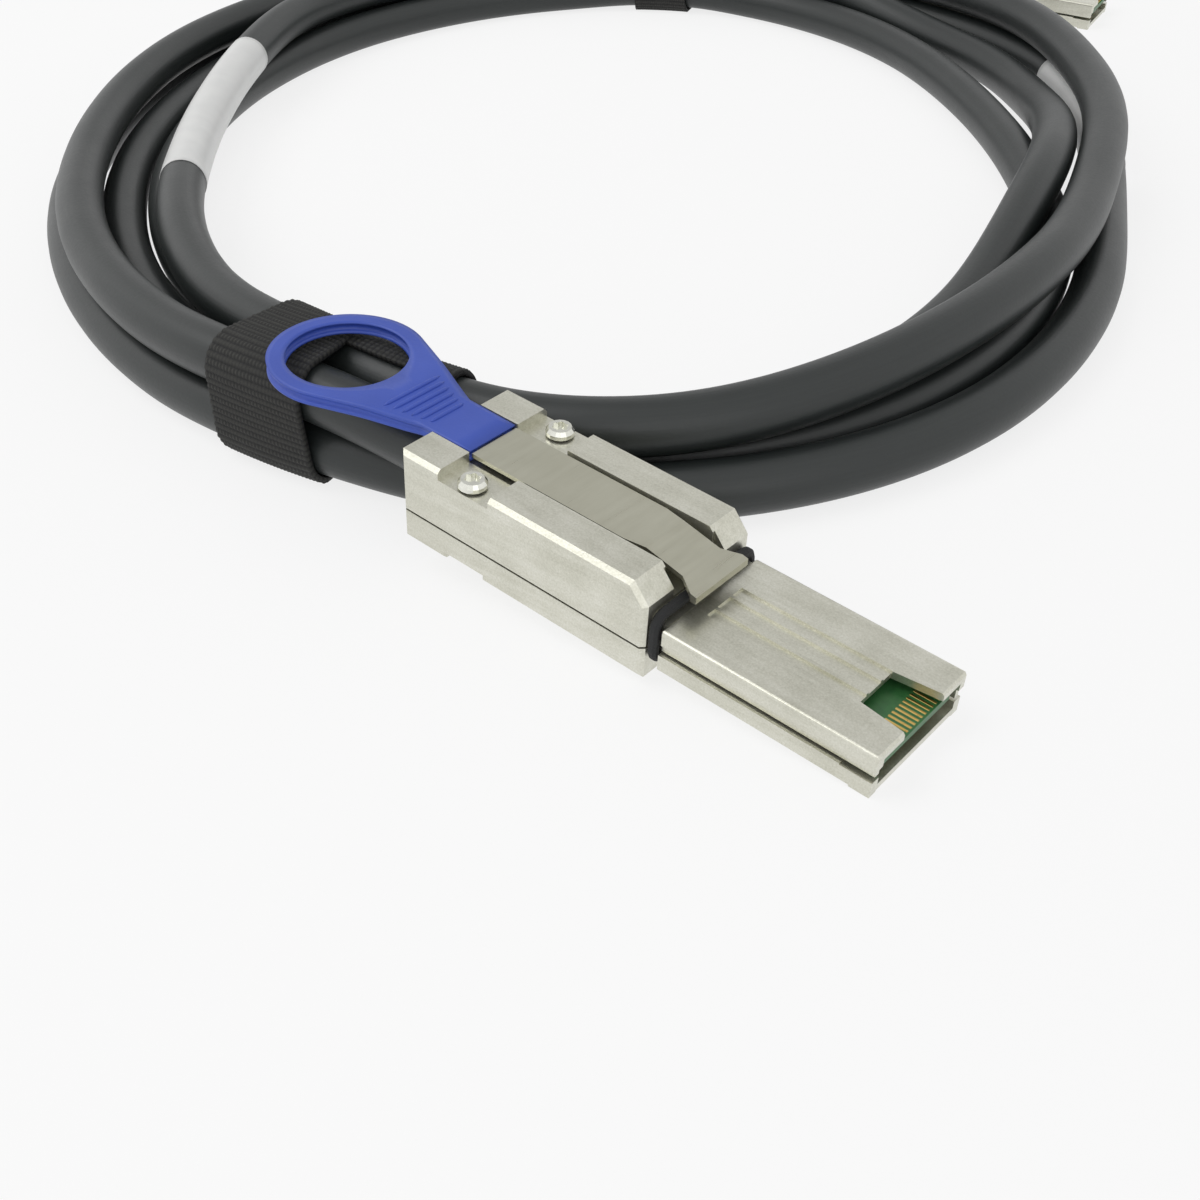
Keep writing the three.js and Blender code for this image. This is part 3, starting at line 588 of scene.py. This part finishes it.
# Tight loop round circles: for each direction v the point is the furthest centre + reach (cos v, sin v)
def loopRound(centres, reach, count):
    v = np.linspace(-math.pi / 2, 1.5 * math.pi, 1441)
    ray = np.column_stack([np.cos(v), np.sin(v)])
    furthest = np.argmax(ray @ centres.T, axis=1)
    line = centres[furthest] + reach * ray
    lengths = np.linalg.norm(np.diff(line, axis=0), axis=1)
    along = np.concatenate([[0.0], np.cumsum(lengths)])
    wanted = np.linspace(0.0, along[-1], count, endpoint=False)
    return np.column_stack([np.interp(wanted, along, line[:, k]) for k in range(2)]), along[-1]


# How far the outer face of the webbing stands off its inner face
def webThickness(x, y):
    return straps["thick"] + straps["ribHeight"] * (ribbed(x, y, straps["rib"]) - 0.5)


# Inner and outer faces of a band side by side in one grid, with their UV in the same order
def bandGrid(inner, outer, x, y):
    grid = np.concatenate([inner, outer[:, ::-1]], axis=1)
    u = np.concatenate([x, x], axis=1) * uvScale
    v = np.concatenate([y, y[:, ::-1]], axis=1) * uvScale
    return toRow(grid), np.stack([u, v], -1)


# A strap is the tight loop round the strands at each place across its width
def makeStrap(name, centre):
    around = straps["around"]
    reach = cord["radius"] + straps["gap"]
    degreesPerMm = 360.0 / (2 * math.pi * straps["ringRadius"])
    offsets = np.linspace(-straps["width"] / 2, straps["width"] / 2, straps["across"])
    loops = []
    for offset in offsets:
        here = strapAngles[name] + offset * degreesPerMm
        centres = crossings(centre, here)
        centres = centres[centres[:, 0] < straps["outermost"][name]]
        centres[:, 1] = np.maximum(centres[:, 1], reach + 0.1)
        line, length = loopRound(centres, reach, around)
        loops.append(ovalPoint(np.full(around, here), line[:, 0], line[:, 1]))
    inner = np.array(loops).transpose(1, 0, 2)
    normal = np.cross(np.gradient(inner, axis=1), np.gradient(inner, axis=0))
    normal = normal / np.linalg.norm(normal, axis=2)[:, :, None]
    if ((inner - inner.reshape(-1, 3).mean(0)) * normal).sum() < 0:
        normal = -normal
    along = np.linspace(0.0, length, around, endpoint=False)
    x, y = np.meshgrid(along, offsets, indexing="ij")
    outer = inner + normal * webThickness(x, y)[:, :, None]
    outer[:, :, 2] = np.maximum(outer[:, :, 2], straps["floorGap"])
    grid, uv = bandGrid(inner, outer, x, y)
    strap = gridMesh(name, grid, closeU=True, closeV=True, uv=uv)
    faceOut(strap)
    dress(strap, "strap_weave")
    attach(strap, "cable")
    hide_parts(straps["node"][name])
    return strap, length


# A loose end hugs the top strand: part of a sleeve between two angles v of the section
def makeLooseEnd(name, centre):
    step = looseTail["step"]
    line = centre[chosenRun(centre, looseTail["turns"])]
    line = eased(respaced(line, step), 6)
    v = np.radians(np.linspace(*looseTail["sweep"], looseTail["across"]))
    x, y = np.meshgrid(np.arange(len(line)) * step, (cord["radius"] + 0.6) * v, indexing="ij")
    ray = raysAlong(line, v)
    low = cord["radius"] + looseTail["gap"]
    inner = line[:, None, :] + ray * low
    outer = line[:, None, :] + ray * (low + webThickness(x, y))[:, :, None]
    grid, uv = bandGrid(inner, outer, x, y)
    strip = gridMesh(name, grid, closeV=True, caps=True, uv=uv)
    faceOut(strip)
    dress(strip, "strap_weave")
    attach(strip, "cable")
    return strip, step * (len(line) - 1)


# The run of the cord between two counted turns of the coil
def chosenRun(centre, turns):
    angle = np.degrees(np.unwrap(np.radians(ovalAngle(centre))))
    angle = angle - angle[0] + ovalAngle(centre[:1])[0]
    return (angle <= turns[0]) & (angle >= turns[1])


# Labels: a sleeve round one strand, centre + (radius + lift) (side cos v + up sin v)

labels = {
    "turns": {"labelLeft": (-71.0, -114.0), "labelRight": (-974.0, -1000.0)},
    "node": {"labelLeft": "label_left", "labelRight": "label_right"},
    "lift": 0.14,
    "under": 0.03,
    "around": 40,
}


def makeLabel(name, centre):
    line = toRow(centre)[chosenRun(centre, labels["turns"][name])]
    outer = tubeGrid(line, cord["radius"] + labels["lift"], labels["around"])
    inner = tubeGrid(line, cord["radius"] + labels["under"], labels["around"])
    sleeve = gridMesh(name, np.concatenate([inner, outer[::-1]], axis=0), closeU=True, closeV=True)
    faceOut(sleeve)
    dress(sleeve, "label_white")
    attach(sleeve, "cable")
    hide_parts(labels["node"][name])
    return sleeve, float(np.linalg.norm(np.diff(line, axis=0), axis=1).sum())


# Floor, backdrop and light

light = {
    "sky": 0.62,
    "key": 3.2,
    "fill": 1.1,
    "greyCard": (-0.41, 0.60, 0.69),
    "greyFrom": 0.70,
    "greyTo": 0.95,
    "grey": 0.66,
    "floorSeen": 0.8,
    "floorMirrored": 0.85,
}


def floorFinish():
    g = Graph("paleFloor")
    path = g.tree.nodes.new("ShaderNodeLightPath")
    seen = Value(g, path.outputs["Is Camera Ray"])
    glossy = Value(g, path.outputs["Is Glossy Ray"])
    through = Value(g, path.outputs["Is Transmission Ray"])
    share = g.maths("MAXIMUM", light["floorSeen"] * seen, light["floorMirrored"] * glossy)
    share = g.maths("MAXIMUM", share, through)
    cloud = g.noise(g.place(), 3.0, 2.0, 0.5)
    tone = g.mix(cloud, (0.86, 0.86, 0.86, 1.0), (0.9, 0.9, 0.9, 1.0))
    matt = g.node("ShaderNodeBsdfDiffuse", None, {"Color": tone})
    glow = g.node("ShaderNodeEmission", None, {"Color": (1.0, 1.0, 1.0, 1.0), "Strength": 1.0})
    mixed = g.node("ShaderNodeMixShader", None, {0: share, 1: matt, 2: glow})
    g.node("ShaderNodeOutputMaterial", None, {0: mixed})
    return g.material


def makeStage():
    size, bend, drop, columns = 1600.0, 300.0, 0.02, 9
    u = np.linspace(-size, size, columns)
    run = np.linspace(0.0, math.pi / 2, 13)
    y = np.concatenate([[-size], size + bend * np.sin(run), [size + bend]])
    z = np.concatenate([[0.0], bend * (1 - np.cos(run)), [size]])
    grid = np.stack(np.broadcast_arrays(u[:, None], y[None, :], z[None, :] - drop), -1)
    floor = gridMesh("floor", grid)
    floor.data.materials.append(floorFinish())


# Camera, transmission and glossy rays see white, all others the plainer light of the sky.
# A grey card hangs back left in the studio, so glossy rays that way see a pale grey.
def makeSky():
    world = bpy.data.worlds.new("studio")
    bpy.context.scene.world = world
    world.use_nodes = True
    tree = world.node_tree
    tree.nodes.clear()
    white = (1.0, 1.0, 1.0, 1.0)

    def add(kind, operation=None, values=None):
        made = tree.nodes.new(kind)
        if operation:
            made.operation = operation
        for key, value in (values or {}).items():
            made.inputs[key].default_value = value
        return made

    def join(output, target):
        tree.links.new(output, target)

    path = add("ShaderNodeLightPath")
    sky = add("ShaderNodeBackground", None, {"Color": white, "Strength": light["sky"]})
    studio = add("ShaderNodeBackground", None, {"Color": white})
    first = add("ShaderNodeMath", "MAXIMUM")
    seen = add("ShaderNodeMath", "MAXIMUM")
    where = add("ShaderNodeTexCoord")
    toward = add("ShaderNodeVectorMath", "DOT_PRODUCT", {1: light["greyCard"]})
    fade = add("ShaderNodeMapRange", None, {
        "From Min": light["greyFrom"], "From Max": light["greyTo"],
        "To Min": 1.0, "To Max": light["grey"],
    })
    strength = add("ShaderNodeMath", "MAXIMUM")
    mixed = add("ShaderNodeMixShader")
    out = add("ShaderNodeOutputWorld")
    join(path.outputs["Is Camera Ray"], first.inputs[0])
    join(path.outputs["Is Transmission Ray"], first.inputs[1])
    join(first.outputs[0], seen.inputs[0])
    join(path.outputs["Is Glossy Ray"], seen.inputs[1])
    join(where.outputs["Generated"], toward.inputs[0])
    join(toward.outputs["Value"], fade.inputs["Value"])
    join(fade.outputs[0], strength.inputs[0])
    join(path.outputs["Is Camera Ray"], strength.inputs[1])
    join(strength.outputs[0], studio.inputs["Strength"])
    join(seen.outputs[0], mixed.inputs[0])
    join(sky.outputs[0], mixed.inputs[1])
    join(studio.outputs[0], mixed.inputs[2])
    join(mixed.outputs[0], out.inputs[0])


def addLamp(name, place, target, size, power):
    data = bpy.data.lights.new(name, "AREA")
    data.size = size
    data.energy = power
    obj = bpy.data.objects.new(name, data)
    bpy.context.scene.collection.objects.link(obj)
    obj.matrix_world = lookMatrix(place, np.array(target) - np.array(place), (0.0, 0.0, 1.0))


bpy.context.scene.view_settings.view_transform = "Standard"
setCamera()
makeStage()
makeSky()
addLamp("keyLamp", (-0.55, -0.35, 0.95), (-0.05, 0.10, 0.0), 0.7, light["key"])
addLamp("fillLamp", (0.75, -0.55, 0.45), (0.0, 0.05, 0.0), 0.8, light["fill"])
print("stage ready")

tube, centre, cordRow, cordLength = makeCord()
strapLeft, leftLoop = makeStrap("strapLeft", centre)
strapTop, topLoop = makeStrap("strapTop", centre)
labelLeft, leftLabel = makeLabel("labelLeft", centre)
labelRight, rightLabel = makeLabel("labelRight", centre)
print("strap loops", round(leftLoop), round(topLoop), "labels", round(leftLabel), round(rightLabel), "mm")
dressNodes()

# Plug details: points given in a plug as u towards the nose, v across and w up

plugs = {
    "near": {"foot": (0.0, 0.0, 4.981), "heading": 0.0, "tilt": 5.5, "body": "near_latch"},
    "far": {"foot": (-112.9, 268.4, 2.7725), "heading": 12.0, "tilt": 3.7977, "body": "far_latch"},
}


def inPlug(end, u, v, w):
    values = plugs[end]
    heading, tilt = math.radians(values["heading"]), math.radians(values["tilt"])
    nose = np.array([math.cos(tilt) * math.cos(heading), math.cos(tilt) * math.sin(heading), -math.sin(tilt)])
    side = np.array([-math.sin(heading), math.cos(heading), 0.0])
    up = np.array([math.sin(tilt) * math.cos(heading), math.sin(tilt) * math.sin(heading), math.cos(tilt)])
    u, v, w = np.broadcast_arrays(u, v, w)
    foot = np.array(values["foot"]) + np.array([rowShift, 0.0, 0.0])
    return foot + u[..., None] * nose + v[..., None] * side + w[..., None] * up


# Many small closed tubes in one mesh: grids has one more leading axis than a single grid
def manyTubes(name, grids):
    count, rows, columns = grids.shape[:3]
    index = np.arange(count * rows * columns).reshape(count, rows, columns)
    nextColumn = np.roll(index, -1, 2)
    quads = np.stack([index[:, :-1], index[:, 1:], nextColumn[:, 1:], nextColumn[:, :-1]], -1)
    faces = quads.reshape(-1, 4).tolist() + index[:, 0].tolist() + index[:, -1, ::-1].tolist()
    mesh = bpy.data.meshes.new(name)
    mesh.from_pydata((grids.reshape(-1, 3) * mm).tolist(), [], faces)
    mesh.update()
    obj = addPiece(name, mesh)
    faceOut(obj)
    return obj


fingers = {
    "count": 19, "pitch": 0.8, "wide": 0.36, "thick": 0.05,
    "start": 70.6, "end": 73.7, "slope": 0.1,
    "top": 6.3, "bottom": 5.3, "off": 0.004,
}


# A finger is a flat bar: its width times cos q across, its thickness times the root of sin q up
def makeFingers(end):
    f = fingers
    lane = (np.arange(f["count"]) - (f["count"] - 1) / 2) * f["pitch"]
    q = np.linspace(0.0, math.pi, 6)
    across = np.cos(q) * f["wide"] / 2
    rise = np.sin(q) ** 0.5 * f["thick"]
    run = np.array([f["start"], f["start"] + f["slope"], f["end"] - f["slope"], f["end"]])
    grids = []
    for base, way in ((f["top"], 1.0), (f["bottom"], -1.0)):
        u = run[None, :, None]
        v = lane[:, None, None] + across[None, None, :]
        w = base + way * (f["off"] + rise[None, None, :])
        grids.append(inPlug(end, u, v, w))
    bars = manyTubes(end + "Fingers", np.concatenate(grids))
    bars.data.materials.append(fingerGold)
    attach(bars, "cable")
    return bars


nearFingers = makeFingers("near")
farFingers = makeFingers("far")

# The left strap's loose end lies along the inside of the top strand
strapTail, tailLength = makeLooseEnd("strapLeftTail", centre)
print("loose end", round(tailLength), "mm")

# Pull tabs: a ring whose outline runs in straight tangents to a flat neck

tab = {
    "ring": -21.8, "inner": 8.8, "outer": 11.4, "neckStart": -2.0, "neckWide": 4.5,
    "front": 6.7, "frontWide": 4.3, "ringMiddle": 13.9, "neckMiddle": 13.3,
    "ringThick": 1.8, "neckThick": 1.6, "round": 0.5, "easeStart": -12.0, "easeLong": 10.0,
    "ribs": 6, "ribStart": -1.9, "ribPitch": 1.35, "ribWide": 0.62, "ribHigh": 0.3,
    "ribTaper": 0.33, "ribMargin": 1.3, "ribTuck": 0.35, "ribEnd": 0.15, "ribPower": 8,
}


# Outline: an arc of the outer radius, its tangent to the neck's corner, then the neck's edges
def tabOutline():
    corner = np.array([tab["neckStart"] - tab["ring"], tab["neckWide"]])
    reach = np.linalg.norm(corner)
    touch = math.atan2(corner[1], corner[0]) + math.acos(tab["outer"] / reach)
    arc = np.linspace(touch, 2 * math.pi - touch, 97)
    ring = tab["outer"] * np.column_stack([np.cos(arc), np.sin(arc)])
    front = np.array([tab["front"] - tab["ring"], tab["frontWide"]])
    flip = np.array([1.0, -1.0])
    stops = [ring[-1], corner * flip, front * flip, front, corner, ring[0]]
    counts = [16, 12, 16, 12, 16]
    runs = [np.linspace(stops[k], stops[k + 1], counts[k], endpoint=False) for k in range(5)]
    return np.concatenate([ring[:-1]] + runs)


# Middle height and thickness of the band, easing along u from the ring's to the neck's
def tabHeights(u):
    share = np.clip((u - tab["easeStart"]) / tab["easeLong"], 0.0, 1.0)
    share = share * share * (3 - 2 * share)
    middle = tab["ringMiddle"] + (tab["neckMiddle"] - tab["ringMiddle"]) * share
    thick = tab["ringThick"] + (tab["neckThick"] - tab["ringThick"]) * share
    return middle, thick


# The section runs over the top from the hole to the outline, then back below. At each edge a
# quarter circle goes from r in and r below the face to the edge itself at the face's height,
# so the band's sides are hollow: r (1 - sin q) in from the edge and r cos q below the face.
def makeTab(end):
    outline = tabOutline()
    hole = outline / np.linalg.norm(outline, axis=1)[:, None] * tab["inner"]
    band = outline - hole
    unit = band / np.linalg.norm(band, axis=1)[:, None]
    r = tab["round"]
    rows = []

    def addRow(flat, sign, below):
        u = tab["ring"] + flat[:, 0]
        middle, thick = tabHeights(u)
        rows.append(inPlug(end, u, flat[:, 1], middle + sign * (thick / 2 - below)))

    quarter = np.linspace(0.0, math.pi / 2, 5)
    for first, last, inward, sign in ((hole, outline, unit, 1.0), (outline, hole, -unit, -1.0)):
        for q in quarter:
            addRow(first + inward * r * (1 - math.sin(q)), sign, r * math.cos(q))
        for part in np.arange(1, 7) / 7.0:
            addRow((first + inward * r) * (1 - part) + (last - inward * r) * part, sign, 0.0)
        for q in quarter[::-1]:
            addRow(last - inward * r * (1 - math.sin(q)), sign, r * math.cos(q))
    made = gridMesh(end + "PullTab", np.stack(rows, axis=1), closeU=True, closeV=True)
    faceOut(made)
    dress(made, "blue_plastic")
    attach(made, plugs[end]["body"])
    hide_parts(end + "_pull_tab")
    return made


# A grip rib is half an ellipse of ribWide by ribHigh, carried across the taper with its ends let down
def makeTabRibs(end):
    place = tab["ribStart"] - tab["ribPitch"] * np.arange(tab["ribs"])
    half = tab["neckWide"] + (tab["neckStart"] - place) * tab["ribTaper"] - tab["ribMargin"]
    section = np.linspace(-tab["ribTuck"], math.pi + tab["ribTuck"], 9)
    run = np.linspace(-1.0, 1.0, 13)
    swell = np.sqrt(np.clip(1 - np.abs(run) ** tab["ribPower"], 0.0, 1.0))[None, :, None]
    wide = tab["ribWide"] / 2 * (tab["ribEnd"] + (1 - tab["ribEnd"]) * swell)
    u = place[:, None, None] + wide * np.cos(section)[None, None, :]
    v = half[:, None, None] * run[None, :, None]
    middle, thick = tabHeights(u)
    w = middle + thick / 2 + tab["ribHigh"] * np.sin(section)[None, None, :] * swell
    ribs = manyTubes(end + "TabRibs", inPlug(end, u, v, w))
    ribs.data.polygons.foreach_set("use_smooth", np.ones(len(ribs.data.polygons), dtype=bool))
    dress(ribs, "blue_plastic")
    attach(ribs, plugs[end]["body"])
    return ribs


tabs = {end: (makeTab(end), makeTabRibs(end)) for end in ("near", "far")}
print("details made")

farPieces = [bpy.data.objects["far_" + name] for name in nodeSlots if name != "pull_tab"]
farPieces += list(tabs["far"])
tuple(cordRow[0] * mm)
cordLength * mm
[tuple(p) for p in cordRow * mm]
farPieces + [strapLeft, strapTop, strapTail, labelLeft, labelRight, farFingers]
